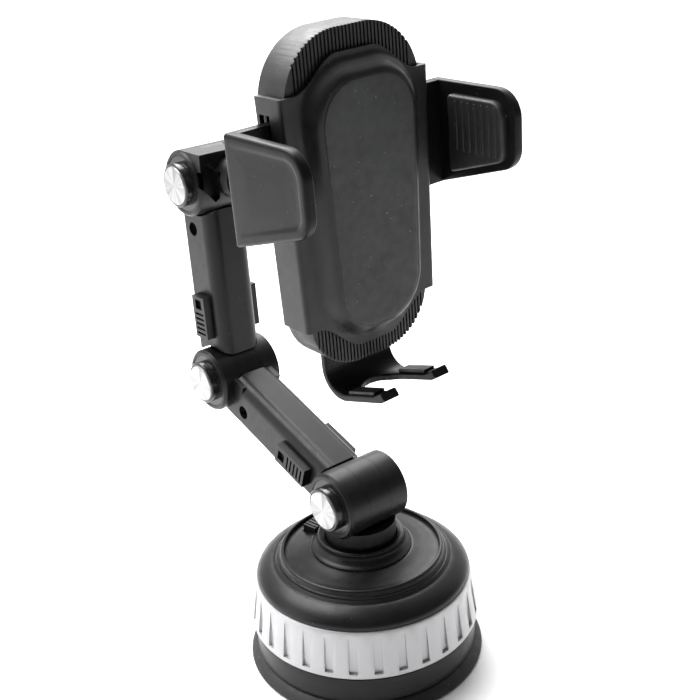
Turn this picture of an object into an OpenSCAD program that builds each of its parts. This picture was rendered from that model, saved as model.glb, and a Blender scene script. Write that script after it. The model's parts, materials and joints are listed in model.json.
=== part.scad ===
// Dashboard phone mount: twist-to-lock suction base, swivel fork, two-link folding
// arm with three friction pivots, ball-jointed phone cradle with two sliding jaws
// and a sliding forked foot.
// Frame: millimetres, +Z up, origin at the centre of the suction face, the pivots
// run along X, the cradle faces -Y.

/* [Base] */
// radius of the suction pad's flared lip
pad_r = 39.4; // [36:0.1:44]
// thickness of the suction pad
pad_h = 3.4; // [2:0.1:5]
// radius of the twist ring at its lower edge
ring_r = 38; // [35:0.1:44]
// height of the twist ring's lower edge above the table
ring_z = 13.3; // [10:0.1:18]
// height of the twist ring
ring_h = 16.3; // [12:0.1:24]
// width of a grip notch
notch_w = 2.8; // [1:0.1:4]
// depth of a grip notch at its lower end
notch_deep = 1.0; // [0.4:0.1:1.5]
// inward draft of the twist ring over its height
ring_draft = 2.5; // [0:0.1:4]
// number of grip notches round the twist ring
notch_count = 30; // [20:1:60]
// height of the base cover above the twist ring
cover_h = 8.9; // [6:0.1:14]
// radius of the raised rim on the base cover
rim_r = 26.7; // [22:0.1:30]

/* [Pivots] */
// height of the bottom pivot axis above the base's rim
pivot_up = 18.9; // [16:0.1:30]
// radius of every pivot barrel
barrel_r = 11.15; // [9:0.05:14]
// width of the middle knuckle
knuckle_w = 8.6; // [6:0.1:10]
// distance from the middle plane to the end of the right ear
ear_x = 11.3; // [9:0.1:14]
// extra length of the left ear round its push button
ear_extra = 0.7; // [0:0.1:2]
// radius of the recess in each ear
recess_r = 9.3; // [7:0.1:10]
// radius of the pivot push button
button_r = 7.3; // [5:0.1:8]
// how far a pivot button stands out of its ear
button_out = 3.0; // [2:0.1:5]
// radius of the pivot bolt
bolt_r = 2.5; // [2:0.1:3]

/* [Arms] */
// distance between the pivots of one arm
arm_len = 71; // [60:0.5:100]
// elevation of the lower arm above the horizontal
lower_elev = 18.5; // [5:0.5:90]
// elevation of the upper arm above the horizontal
upper_elev = 88; // [30:0.5:120]
// width of the arm tube
arm_w = 16; // [12:0.1:20]
// reach of the arm tube in front of its pivot line
arm_front = 7; // [5:0.1:9]
// reach of the arm tube behind its pivot line
arm_back = 10; // [7:0.1:11]
// wall thickness of the arm tube
arm_wall = 1.9; // [1.4:0.1:3]
// length of a squeeze tab along the arm
tab_len = 15.2; // [10:0.1:20]
// width of a squeeze tab
tab_w = 7.2; // [5:0.1:8]

/* [Cradle] */
// distance from the front plane of the cradle sides to the frame's middle plane
cradle_y = -7.8; // [-30:0.1:10]
// sideways offset of the cradle's middle from the arms
cradle_x = 1; // [-3:0.1:3]
// height of the cradle's centre
cradle_z = 155.5; // [150:0.1:170]
// roll of the cradle on its ball, right side up
cradle_roll = 2.1; // [-10:0.1:10]
// half width of the cradle over the top of the front cover
cover_x = 26.3; // [22:0.1:32]
// how much narrower each side of the cradle is at the bottom of the cover
cover_taper = 1.6; // [0:0.1:3]
// depth of the cover's side walls
cover_d = 10; // [9:0.1:14]
// how far the front shield stands forward of the side walls
shield_out = 6.5; // [2:0.1:9]
// half width of the rear housing at the top of the cover
house_x = 24; // [20:0.1:30]
// depth of the rear housing
house_d = 12; // [10:0.1:16]
// top of the rear housing above the cradle centre
house_top = 51.2; // [45:0.1:60]
// bottom of the rear housing below the cradle centre
house_bot = 46.4; // [40:0.1:55]
// half distance between the outer faces of the jaws
jaw_x = 39; // [33:0.1:46]
// reach of the jaw plates in front of the cradle's front plane
jaw_reach = 26.3; // [20:0.1:40]
// outer half width of the forked foot
foot_x = 13; // [9:0.1:16]
// half width of the gap between the foot's prongs
foot_gap = 7; // [4:0.1:9]

/* [Hidden] */
$fn = 64;
gap = 0.3;
fit = 0.08;
ring_top = ring_z + ring_h;
ring_r2 = ring_r - ring_draft;
cover_z = ring_top + 0.2;
rim_z = cover_z + cover_h;
pivot_z = rim_z + pivot_up;
knuckle_x = knuckle_w / 2;
ear_in = knuckle_x + 0.08;
ear_l = ear_x + ear_extra;
recess_x = ear_x - 2.7;
button_x = ear_l + button_out;
scoop_r = barrel_r + 0.7;
tube_cut = 9.5;
p1_y = arm_len * cos(lower_elev);
p1_z = pivot_z + arm_len * sin(lower_elev);
p2_y = p1_y + arm_len * cos(upper_elev);
p2_z = p1_z + arm_len * sin(upper_elev);
notch_turn = 8.7;
shaft_r = 8;
shaft_bot = cover_z - 7.3;
neck_r = 11.6;
neck_z = rim_z + 3.3;
sleeve_in = 25.4;
sleeve_out = 29.4;
sleeve_z = 8.6;
lift_z = 9;
lift_travel = 2.5;
boss_r = 20.5;
boss_turn = 45;
tab_z = scoop_r + 3.75;
tab_y = 1.5;
tab_out = 3;
hole_back = 3.5;
hole_from_end = 17;
arm_screw_z2 = tab_z + tab_len + 5.7;
pinion_z = 14.5;
pinion_r = 6;
tooth_pitch = PI;
rack_y = 4.6;
rack_t = 3.6;
rack_end = 13.5;
ball_r = 8.5;
ball_y = 26;
stem_z = 2.4;
ball_up = p2_z + stem_z - cradle_z;
ball_lx = ball_up * sin(cradle_roll) - cradle_x * cos(cradle_roll);
ball_lz = ball_up * cos(cradle_roll) + cradle_x * sin(cradle_roll);
cover_top = 36;
cover_bot = -31.5;
arch_up = 8.9;
arch_down = 9.3;
jaw_top = 29;
jaw_low = 7;
jaw_rear = -3.2;
jaw_r_top = 8;
jaw_r_low = 7;
jaw_slope = atan((jaw_low - jaw_rear) / (jaw_reach + rack_y + rack_t));
jaw_mid_z = jaw_low - jaw_r_low * tan(jaw_slope) + jaw_r_low / cos(jaw_slope);
foot_t = 2.2;
foot_back = 10;
bend_r = 8.6;
bend_y = foot_back - bend_r;
bend_z = -49.4;
house_r_top = 19;
house_r_bot = 17;
upper_screw_x = house_x - 5.6;
lower_screw_x = house_x - 6.6;
screw_spots = [
  for (s = [-1, 1]) [s * upper_screw_x, 33.4],
  for (s = [-1, 1]) [s * lower_screw_x, -14]
];
foot_rise = 17;

// ---------------------------------------------------------------- helpers

// ring of height h between two radii, standing on z
module tube(r_out, r_in, z, h) {
  translate([0, 0, z]) difference() {
    cylinder(r = r_out, h = h);
    translate([0, 0, -1]) cylinder(r = r_in, h = h + 2);
  }
}

// cylinder lying along X between two x positions
module rod_x(r, x0, x1) {
  translate([x0, 0, 0]) rotate([0, 90, 0]) cylinder(r = r, h = x1 - x0);
}

// cylinder lying along Y between two y positions
module rod_y(r, y0, y1) {
  translate([0, y1, 0]) rotate([90, 0, 0]) cylinder(r = r, h = y1 - y0);
}

// box given by its low and high corners
module box(lo, hi) {
  translate(lo) cube([hi[0] - lo[0], hi[1] - lo[1], hi[2] - lo[2]]);
}

// ring spring standing on the origin: flat rings joined at alternating sides
module coil(r, wire, turns, h) {
  step = (h - wire) / turns;
  union() {
    for (i = [0:turns]) tube(r + wire, r - wire, i * step, wire);
    for (i = [0:turns - 1]) rotate(i % 2 * 180) intersection() {
      tube(r + wire, r - wire, i * step + wire / 2, step);
      box([0, -wire, 0], [r + wire + 1, wire, h]);
    }
  }
}

// pan-head screw with a cross recess, head down at the origin, pointing up
module screw_up(r, len, head_r, head_h) {
  difference() {
    union() {
      cylinder(r = head_r, h = head_h);
      cylinder(r = r, h = len);
    }
    box([-head_r * 0.6, -0.4, -1], [head_r * 0.6, 0.4, head_h * 0.5]);
    box([-0.4, -head_r * 0.6, -1], [0.4, head_r * 0.6, head_h * 0.5]);
  }
}

// frame of the lower arm: local Z runs from the bottom pivot to the middle one
module at_lower() {
  translate([0, 0, pivot_z]) rotate([lower_elev - 90, 0, 0]) children();
}

// frame of the upper arm: local Z runs from the middle pivot to the top one
module at_upper() {
  translate([0, p1_y, p1_z]) rotate([upper_elev - 90, 0, 0]) children();
}

module at_bottom_pivot() { translate([0, 0, pivot_z]) children(); }
module at_middle_pivot() { translate([0, p1_y, p1_z]) children(); }
module at_top_pivot() { translate([0, p2_y, p2_z]) children(); }

// frame of the cradle: local Y is depth, local Z runs up the phone
module at_cradle() {
  translate([cradle_x, cradle_y, cradle_z]) rotate([0, -cradle_roll, 0]) children();
}

// ---------------------------------------------------------------- base

module suction_pad() {
  color("#17181a") difference() {
    rotate_extrude() polygon([
      [0, 0], [31, 0], [31.4, 0.5], [33.6, 0.5], [34, 0], [pad_r - 0.5, 0], [pad_r, 0.5],
      [pad_r - 0.3, 1.3], [pad_r - 1.6, 2.4], [pad_r - 3, pad_h], [0, pad_h]
    ]);
    translate([0, 0, 1.5]) cylinder(r = 10.4, h = pad_h);
  }
}

// fixed lower body: floor, skirt under the ring, guide wall and screw bosses
module lower_shell() {
  color("#1e1f21") difference() {
    union() {
      rotate_extrude() polygon([
        [10.4, pad_h], [36.4, pad_h], [37, 4.2], [36.8, ring_z - 0.9],
        [36.2, ring_z - 0.3], [33.4, ring_z - 0.3], [33.4, ring_top - 4.4],
        [31, ring_top - 4.4], [31, 5.6], [10.4, 5.6]
      ]);
      for (i = [0:3]) rotate(boss_turn + 90 * i) translate([boss_r, 0, pad_h])
        cylinder(r = 3.1, h = cover_z + 2.4 - pad_h);
    }
    for (i = [0:3]) rotate(boss_turn + 90 * i) translate([boss_r, 0, 0]) {
      cylinder(r = 1.7, h = 60);
      translate([0, 0, pad_h - 1]) cylinder(r = 2.5, h = 3.1);
    }
  }
}

module twist_ring() {
  color("#d3d5d7") difference() {
    rotate_extrude() polygon([
      [33.8, ring_z + 0.2], [ring_r - 0.6, ring_z], [ring_r, ring_z + 0.6],
      [ring_r2 + 0.3, ring_top - 0.5], [ring_r2, ring_top], [33.8, ring_top]
    ]);
    for (i = [0:notch_count - 1]) rotate(notch_turn + i * 360 / notch_count)
      translate([ring_r - notch_deep - 0.25, 0, ring_z + 1.9]) rotate([0, -3.8, 0])
        box([0, -notch_w / 2, 0], [3, notch_w / 2, 12]);
  }
}

// cam carried by the twist ring: three arms reach in over the guide wall
module cam_sleeve() {
  color("#3a3d40") difference() {
    union() {
      tube(sleeve_out, sleeve_in, sleeve_z, ring_top - 1.2 - sleeve_z);
      for (i = [0:2]) rotate(120 * i + 60)
        intersection() {
          box([sleeve_out - 1, -4, ring_top - 3.8], [34, 4, ring_top - 1.2]);
          cylinder(r = 33.79, h = ring_top);
        }
    }
    for (i = [0:2]) for (k = [0:6]) rotate(120 * i - 10 * k)
      box([sleeve_in - 1, -3.4, lift_z - 0.2 + lift_travel * max(k - 0.5, 0) / 6],
          [sleeve_out + 1, 3.4, lift_z + 3.1 + lift_travel * min(k + 0.5, 6) / 6]);
  }
}

// plate that the cam lifts, guided on the four screw bosses
module lift_plate() {
  color("#55585c") difference() {
    union() {
      translate([0, 0, lift_z]) cylinder(r = 24.8, h = 2.8);
      for (i = [0:2]) rotate(120 * i)
        box([24, -1.7, lift_z], [sleeve_out - 0.4, 1.7, lift_z + 2.8]);
      tube(9, 5.2, lift_z + 2.7, 2.4);
    }
    for (i = [0:3]) rotate(boss_turn + 90 * i) translate([boss_r, 0, lift_z - 1])
      cylinder(r = 3.5, h = 6);
    translate([0, 0, lift_z - 1]) cylinder(r = 3.02, h = 6);
  }
}

// flanged stud bonded into the pad, pulled up by the lift plate
module lift_stud() {
  color("#b9bcc0") union() {
    translate([0, 0, 1.6]) cylinder(r = 10, h = 1.4);
    translate([0, 0, 2.9]) cylinder(r = 4.6, h = lift_z - 2.9);
    translate([0, 0, lift_z - 0.1]) cylinder(r = 3, h = 3.2);
    translate([0, 0, lift_z + 2.8]) cylinder(r = 4.6, h = 1.7, $fn = 6);
  }
}

module lift_spring() {
  color("#8f9296") translate([0, 0, lift_z + 2.8])
    coil(13.6, 0.6, 6, cover_z + 2.4 - lift_z - 2.8);
}

module base_cover() {
  color("#232427") difference() {
    rotate_extrude() polygon([
      [33.4, cover_z - 0.9], [33.4, cover_z], [35.3, cover_z], [35.4, cover_z + 0.8],
      [34.9, cover_z + 1.9], [33.9, cover_z + 3], [32.5, cover_z + 4.1],
      [30.9, cover_z + 5], [29.6, cover_z + 5.5], [29.3, cover_z + 5.3],
      [29, cover_z + 5.5], [28.3, cover_z + 6.3], [27.9, cover_z + 6.3],
      [27.9, cover_z + 4.6], [15, cover_z + 4.6], [15, cover_z + 8.6],
      [shaft_r + fit, cover_z + 8.6], [shaft_r + fit, shaft_bot + 0.1],
      [11.6, shaft_bot + 0.1], [11.6, cover_z + 2.4], [31.4, cover_z + 2.4],
      [31.8, cover_z + 2], [31.8, cover_z - 0.9]
    ]);
    for (i = [0:3]) rotate(boss_turn + 90 * i) translate([boss_r, 0, 0])
      cylinder(r = 1.45, h = cover_z + 4);
    vacuum_pocket(0.35);
  }
}

// shaft of the pocket that holds the vacuum release button
module vacuum_pocket(play) {
  translate([-3.8, 19.2, cover_z]) rotate(11) {
    box([-4 - play, -2.7 - play, 3.4], [4 + play, 2.7 + play, 12]);
    translate([0, 0, 1]) cylinder(r = 1.25, h = 4);
  }
}

module base_rim() {
  color("#2a2b2e") rotate_extrude() polygon([
    [25.7, cover_z + 4.7], [27.8, cover_z + 4.7], [27.8, cover_z + 6.9],
    [rim_r + 0.6, cover_z + 7.1], [rim_r + 0.3, rim_z - 0.4],
    [rim_r - 0.2, rim_z], [25.9, rim_z], [25.7, rim_z - 0.3]
  ]);
}

module base_plate() {
  color("#202124") difference() {
    rotate_extrude() polygon([
      [15.1, cover_z + 4.7], [25.6, cover_z + 4.7], [25.6, rim_z - 1.2],
      [24.4, rim_z - 1.3], [20, rim_z - 0.6], [17.2, rim_z + 0.2], [15.1, rim_z + 0.2]
    ]);
    vacuum_pocket(0.35);
  }
}

module base_collar() {
  color("#1b1c1e") rotate_extrude() polygon([
    [neck_r + 0.2, cover_z + 8.7], [15, cover_z + 8.7], [15, rim_z + 0.25],
    [16.6, rim_z + 0.25], [16.6, rim_z + 0.5],
    [15, rim_z + 1.5], [14.2, rim_z + 3], [14.3, rim_z + 4.6],
    [13.8, rim_z + 5.1], [12.9, rim_z + 4.7], [neck_r + 0.2, rim_z + 4.2]
  ]);
}

module base_screws() {
  color("#9a9da1") for (i = [0:3]) rotate(boss_turn + 90 * i)
    translate([boss_r, 0, pad_h + 0.3]) screw_up(1.44, cover_z - 0.4, 2.4, 1.8);
}

module vacuum_button() {
  color("#2f3033") translate([-3.8, 19.2, 0]) rotate(11) difference() {
    union() {
      box([-3.9, -2.6, cover_z + 6.2], [3.9, 2.6, rim_z + 1.6]);
      translate([0, 0, cover_z + 4.4]) cylinder(r = 1, h = 2);
    }
    for (i = [-2:2])
      box([i * 1.5 - 0.3, -3, rim_z + 1.1], [i * 1.5 + 0.3, 3, rim_z + 2]);
  }
}

module vacuum_spring() {
  color("#8f9296") translate([-3.8, 19.2, cover_z + 3.4]) coil(1.7, 0.25, 4, 2.8);
}

// ---------------------------------------------------------------- pivots

// two ears of a pivot, recessed at both ends, with a chamfered left face
module ears() {
  difference() {
    union() {
      rod_x(barrel_r, ear_in, ear_x);
      rod_x(barrel_r, -ear_l + 0.9, -ear_in);
      translate([-ear_l + 0.9, 0, 0]) rotate([0, -90, 0])
        cylinder(r1 = barrel_r, r2 = barrel_r - 0.8, h = 0.9);
    }
    rod_x(recess_r, recess_x, ear_x + 1);
    rod_x(recess_r, -ear_l - 1, -recess_x);
    rod_x(bolt_r + fit, -ear_l, ear_x);
  }
}

// middle knuckle: a plain disc with a bolt bore
module knuckle(x0, x1) {
  difference() {
    rod_x(barrel_r, x0, x1);
    rod_x(bolt_r + fit, x0 - 1, x1 + 1);
  }
}

module pivot_bolt() {
  color("#a7aaae") difference() {
    union() {
      rod_x(bolt_r, -recess_x - 0.5, recess_x + 2);
      rod_x(4.6, -recess_x - 1.6, -recess_x);
    }
    rotate([0, 90, 0]) translate([0, 0, -recess_x - 2]) cylinder(r = 1.5, h = 1.4, $fn = 6);
  }
}

module pivot_nut() {
  color("#a7aaae") difference() {
    translate([recess_x, 0, 0]) rotate([0, 90, 0]) cylinder(r = 4.6, h = 2.2, $fn = 6);
    rod_x(bolt_r, recess_x - 1, ear_x + 1);
  }
}

// push button: a cup that slides in the recess, with a seat for the silver cap
module pivot_button() {
  color("#151618") difference() {
    union() {
      rod_x(button_r, -button_x + 0.5, -recess_x - 2.3);
      translate([-button_x + 0.5, 0, 0]) rotate([0, -90, 0])
        cylinder(r1 = button_r, r2 = button_r - 0.35, h = 0.35);
      rod_x(recess_r - 0.08, -recess_x - 3.2, -recess_x - 2.3);
    }
    rod_x(5.6, -recess_x - 3.5, -recess_x - 1);
    rod_x(6.42, -button_x - 1, -button_x + 0.9);
  }
}

module pivot_cap() {
  color("#d9dadc") union() {
    rod_x(6.4, -button_x + 0.1, -button_x + 0.9);
    translate([-button_x + 0.1, 0, 0]) rotate([0, -90, 0])
      cylinder(r1 = 6.4, r2 = 6.1, h = 0.3);
  }
}

module pivot_spring() {
  color("#8f9296") translate([-recess_x - 1.6, 0, 0]) rotate([0, -90, 0])
    coil(4.6, 0.3, 3, 1.8);
}

// ---------------------------------------------------------------- swivel

module swivel_fork() {
  color("#202124") difference() {
    union() {
      translate([0, 0, shaft_bot]) cylinder(r = shaft_r, h = neck_z - shaft_bot + 0.1);
      translate([0, 0, neck_z - 3.2]) cylinder(r = neck_r, h = 8.6);
      at_bottom_pivot() ears();
      difference() {
        translate([0, 0, neck_z]) cylinder(r = neck_r, h = pivot_z - neck_z - 8.6);
        at_bottom_pivot() rod_x(barrel_r - 1, -30, 30);
      }
    }
    at_bottom_pivot() rod_x(scoop_r, -ear_in, ear_in);
    at_bottom_pivot() rod_x(recess_r, -ear_l - 3, -recess_x);
    at_bottom_pivot() rod_x(recess_r, recess_x, ear_x + 3);
    at_bottom_pivot() rod_x(bolt_r + fit, -20, 20);
    translate([0, 0, shaft_bot - 1]) cylinder(r = 2.02, h = 9);
  }
}

module swivel_washer() {
  color("#a7aaae") difference() {
    translate([0, 0, shaft_bot - 1.6]) cylinder(r = 10.8, h = 1.6);
    translate([0, 0, shaft_bot - 3]) cylinder(r = 2.1, h = 5);
  }
}

module swivel_screw() {
  color("#a7aaae") translate([0, 0, shaft_bot - 3.4]) screw_up(2, 10, 3.8, 1.8);
}

// ---------------------------------------------------------------- arms

// outline of the arm tube; the front is on -Y with large corner radii
module arm_section(inset) {
  w = arm_w / 2 - inset;
  f = arm_front - inset;
  b = arm_back - inset;
  rf = 4.6 - inset;
  rb = max(2.2 - inset, 0.4);
  union() {
    translate([-w, -f + rf]) square([2 * w, f + b - rf - rb]);
    translate([-w + rf, -f]) square([2 * (w - rf), rf + 1]);
    translate([-w + rb, b - rb - 1]) square([2 * (w - rb), rb + 1]);
    for (s = [-1, 1]) {
      translate([s * (w - rf), -f + rf]) circle(r = rf);
      translate([s * (w - rb), b - rb]) circle(r = rb);
    }
  }
}

// full arm body before it is split; top_ears adds the ears of the next pivot
module arm_body(top_ears) {
  difference() {
    union() {
      difference() {
        translate([0, 0, tube_cut]) linear_extrude(arm_len - 2 * tube_cut) arm_section(0);
        rod_x(scoop_r, -20, 20);
        translate([0, 0, arm_len]) rod_x(scoop_r, -20, 20);
      }
      difference() {
        box([-knuckle_x, -arm_front + 1, 0], [knuckle_x, arm_back - 2, 16]);
        rod_x(barrel_r - 1, -20, 20);
      }
      knuckle(-knuckle_x, knuckle_x);
      translate([0, 0, arm_len]) {
        if (top_ears) rotate([90 - lower_elev, 0, 0]) ears();
        else knuckle(-knuckle_x, knuckle_x);
      }
      translate([0, 0, arm_len]) difference() {
        if (top_ears) for (s = [-1, 1])
          box([s > 0 ? ear_in : -arm_w / 2, -arm_front + 1, -15],
              [s > 0 ? arm_w / 2 : -ear_in, arm_back - 1.5, 0]);
        else box([-knuckle_x, -arm_front + 1, -16], [knuckle_x, arm_back - 2, 0]);
        rod_x(barrel_r - 1, -20, 20);
      }
    }
    translate([0, 0, scoop_r + 1.2])
      linear_extrude(arm_len - 2 * scoop_r - 2.4) arm_section(arm_wall);
    translate([0, 0, arm_len - hole_from_end]) translate([0, hole_back, 0]) {
      rod_x(1.6, -5, 20);
      rod_x(2.4, -20, -3);
    }
    for (s = [-1, 1]) tab_window(s);
  }
  arm_bosses();
}

// screw posts inside the arm: one at the hole, one further down
module arm_bosses() {
  for (p = [[hole_back, arm_len - hole_from_end], [0.5, arm_screw_z2]]) translate([0, p[0], p[1]])
    difference() {
      rod_x(3.6, -arm_w / 2 + 1, arm_w / 2 - 1);
      rod_x(1.5, -arm_w, arm_w / 2 - 2.4);
      rod_x(2.4, -arm_w, -arm_w / 2 + 4);
    }
}

// opening in the side wall that a squeeze tab slides through
module tab_window(side) {
  mirror([side < 0 ? 1 : 0, 0, 0])
    box([arm_w / 2 - arm_wall - 0.1, tab_y - tab_w / 2 - 0.2, tab_z - 0.2],
        [arm_w / 2 + 4, tab_y + tab_w / 2 + 0.2, tab_z + tab_len + 0.2]);
}

module half(side) {
  intersection() {
    children();
    mirror([side < 0 ? 1 : 0, 0, 0]) box([0, -40, -40], [40, 40, 120]);
  }
}

module arm_screws() {
  color("#9a9da1") translate([-arm_w / 2 + 2.6, hole_back, arm_len - hole_from_end])
    rotate([0, 90, 0]) screw_up(1.45, 10.6, 2.3, 1.3);
}

// squeeze tab: a finger pad with grooves and a window, on a flanged body
module squeeze_tab(side) {
  x0 = arm_w / 2;
  color("#1a1b1d") mirror([side < 0 ? 1 : 0, 0, 0]) difference() {
    union() {
      box([x0 - arm_wall - 0.1, tab_y - tab_w / 2, tab_z],
          [x0 + tab_out, tab_y + tab_w / 2, tab_z + tab_len]);
      box([x0 - arm_wall - 1.5, tab_y - tab_w / 2 + 0.4, tab_z - 0.45],
          [x0 - arm_wall - 0.05, tab_y + tab_w / 2 - 0.6, tab_z + tab_len + 1.2]);
    }
    for (k = [0:4])
      box([x0 + tab_out - 0.7, tab_y - tab_w / 2 + 1.1, tab_z + 1.2 + k * 1.8],
          [x0 + tab_out + 1, tab_y + tab_w / 2 - 1.1, tab_z + 2 + k * 1.8]);
    box([x0 + tab_out - 1.2, tab_y - 1.8, tab_z + tab_len - 4.6],
        [x0 + tab_out + 1, tab_y + 1.8, tab_z + tab_len - 1.2]);
  }
}

// spring pushing the two tabs of an arm apart
module tab_spring() {
  color("#8f9296") translate([-4.6, tab_y, tab_z + tab_len / 2]) rotate([0, 90, 0])
    coil(2, 0.3, 5, 9.2);
}

// ---------------------------------------------------------------- head

module head_fork() {
  color("#202124") difference() {
    union() {
      at_top_pivot() {
        ears();
        difference() {
          box([-ear_x, -barrel_r, 0], [ear_x, 0, barrel_r]);
          rod_x(barrel_r - 1, -30, 30);
        }
        difference() {
          translate([0, 0, stem_z]) rod_y(6.8, -barrel_r - 6, -4);
          rod_x(barrel_r - 0.6, -30, 30);
        }
        translate([0, 0, stem_z]) rod_y(6.8, -barrel_r - 8, -barrel_r - 0.5);
      }
    }
    at_top_pivot() {
      rod_x(scoop_r, -ear_in, ear_in);
      rod_x(recess_r, -ear_l - 3, -recess_x);
      rod_x(recess_r, recess_x, ear_x + 3);
      rod_x(bolt_r + fit, -20, 20);
      for (s = [-1, 1]) translate([s * ear_x, -barrel_r - 1, 5.4]) rotate([0, s * 45, 0])
        box([-4, -3, -12], [4, 4.4, 0]);
      translate([0, 0, stem_z]) rod_y(2.6, -60, -barrel_r - 3.4);
    }
  }
}

// ball on a stepped neck, threaded into the head
module ball_stud() {
  color("#2b2c2f") at_ball() union() {
    sphere(r = ball_r);
    rod_y(4.6, ball_r - 2, p2_y - cradle_y - ball_y - barrel_r - 8.1);
    rod_y(2.55, 10, p2_y - cradle_y - ball_y - barrel_r - 3.6);
  }
}

module at_ball() { translate([0, cradle_y + ball_y, p2_z + stem_z]) children(); }

// slotted cup that grips the ball, bolted to the back of the cradle
module ball_socket() {
  color("#1d1e20") at_ball() difference() {
    union() {
      rod_y(13.6, -ball_y + house_d, -ball_y + house_d + 3);
      rod_y(11.2, -ball_y + house_d + 2.9, 4.6);
    }
    sphere(r = ball_r + fit);
    rod_y(ball_r - 0.9, 2, 10);
    for (i = [0:2]) rotate([0, 60 * i, 0]) box([-20, -1, -0.7], [20, 6, 0.7]);
    for (i = [0:2]) rotate([0, 120 * i + 30, 0]) translate([12.4, 0, 0]) rod_y(1.0, -20, 0);
  }
}

module socket_screws() {
  color("#9a9da1") at_ball() for (i = [0:2]) rotate([0, 120 * i + 30, 0])
    translate([12.4, -ball_y + house_d + 3.7, 0]) rotate([90, 0, 0]) screw_up(0.95, 4.6, 1.1, 0.6);
}

module ball_nut() {
  color("#1a1b1d") at_ball() difference() {
    union() {
      rod_y(14, -ball_y + house_d + 4.8, 5.4);
      for (i = [0:11]) rotate([0, 30 * i, 0]) translate([13.6, 0, 0])
        rod_y(1.1, -ball_y + house_d + 5.4, 4.8);
    }
    rod_y(11.5, -30, 4.7);
    rod_y(7.4, -30, 10);
  }
}

// ---------------------------------------------------------------- cradle

// outline of the rear housing in the cradle's X-Z plane
module house_outline(inset) {
  xt = house_x - inset;
  xb = xt - cover_taper;
  t = house_top - inset;
  b = house_bot - inset;
  rt = house_r_top - inset;
  rb = house_r_bot - inset;
  union() {
    polygon([[-xb, rb - b], [xb, rb - b], [xt, t - rt], [-xt, t - rt]]);
    translate([-xt + rt, t - rt - 1]) square([2 * (xt - rt), rt + 1]);
    translate([-xb + rb, -b]) square([2 * (xb - rb), rb + 1]);
    for (s = [-1, 1]) {
      translate([s * (xt - rt), t - rt]) circle(r = rt);
      translate([s * (xb - rb), -b + rb]) circle(r = rb);
    }
  }
}

// extrude an X-Z outline between two depths
module plate_y(y0, y1) {
  translate([0, y1, 0]) rotate([90, 0, 0]) linear_extrude(y1 - y0) children();
}

// blend from 1 in the middle to 0 beyond the outer half width
function blend(x, x0, x1) =
  abs(x) <= x0 ? 1 : abs(x) >= x1 ? 0 : 0.5 + 0.5 * cos(180 * (abs(x) - x0) / (x1 - x0));

// outline of the front cover: side bands with an arch above and below
module cover_outline(x_max, shrink) {
  n = 26;
  polygon(concat(
    [for (i = [0:n]) let (x = -x_max + 2 * x_max * i / n)
      [x, cover_top + arch_up * blend(x, 5, 22) - shrink]],
    [for (i = [0:n]) let (x = (x_max - cover_taper) * (1 - 2 * i / n))
      [x, cover_bot - arch_down * blend(x, 4, 21) + shrink]]
  ));
}

// outline of one side wall of the cover, on the +X side
module side_outline() {
  polygon([
    [house_x - cover_taper + 0.15, cover_bot], [cover_x - cover_taper, cover_bot],
    [cover_x, cover_top], [house_x + 0.15, cover_top]
  ]);
}

// outline of the soft pad: slightly wider at the top
module pad_outline(grow) {
  union() {
    polygon([
      [-16.6 - grow, 22], [-15 - grow, -20], [-4, -33.6 - grow], [4, -33.6 - grow],
      [15 + grow, -20], [16.6 + grow, 22], [5, 37.2 + grow], [-5, 37.2 + grow]
    ]);
    for (s = [-1, 1]) {
      translate([s * (16.6 - 13), 24.2]) circle(r = 13 + grow);
      translate([s * (15 - 12), -21.6]) circle(r = 12 + grow);
    }
  }
}

module rear_housing() {
  color("#242528") at_cradle() difference() {
    union() {
      difference() {
        plate_y(0, house_d) house_outline(0);
        plate_y(1.8, house_d - 1.8) house_outline(2);
        box([-house_x + 3, -1, cover_bot + 3], [house_x - 3, 2, cover_top - 3]);
        for (s = [-1, 1]) box([s > 0 ? house_x - 4 : -house_x - 1, rack_y - 0.4, jaw_rear - 1],
                              [s > 0 ? house_x + 1 : -house_x + 4, rack_y + rack_t + 0.4, 31]);
        box([-foot_x - 0.4, 7.2, -house_bot - 1],
            [foot_x + 0.4, house_d - 1.8, house_r_bot - house_bot]);
        ribs(-1);
        ribs(1);
      }
      for (s = [-1, 1]) box([s > 0 ? foot_x + 0.3 : -foot_x - 1.6, 7.4, -41],
                            [s > 0 ? foot_x + 1.6 : -foot_x - 0.3, house_d - 1.7, -9]);
      translate([0, 0, pinion_z]) rod_y(2.4, 3, house_d - 1.7);
      housing_bosses();
    }
    translate([ball_lx, 0, ball_lz]) for (i = [0:2])
      rotate([0, 120 * i + 30 + cradle_roll, 0]) translate([12.4, 0, 0])
        rod_y(0.99, house_d - 1.9, 20);
    for (p = screw_spots) translate([p[0], 0, p[1]]) rod_y(1.2, -2, house_d - 4.6);
  }
}

// fine grip grooves across the visible ends of the housing's front face
module ribs(end) {
  for (i = [-16:16]) {
    x = i * 1.25;
    z0 = end > 0 ? cover_top - 1 : -house_bot - 2;
    z1 = end > 0 ? house_top + 2 : cover_bot + 1;
    box([x - 0.3, -1, z0], [x + 0.3, 0.6, z1]);
  }
}

module housing_bosses() {
  for (p = screw_spots) translate([p[0], 0, p[1]]) rod_y(2.9, 0.4, house_d - 1.7);
}

module housing_screws() {
  color("#9a9da1") at_cradle() for (p = screw_spots) translate([p[0], -1, p[1]])
    rotate([-90, 0, 0]) screw_up(1.18, 7.2, 1.9, 0.9);
}

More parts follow.
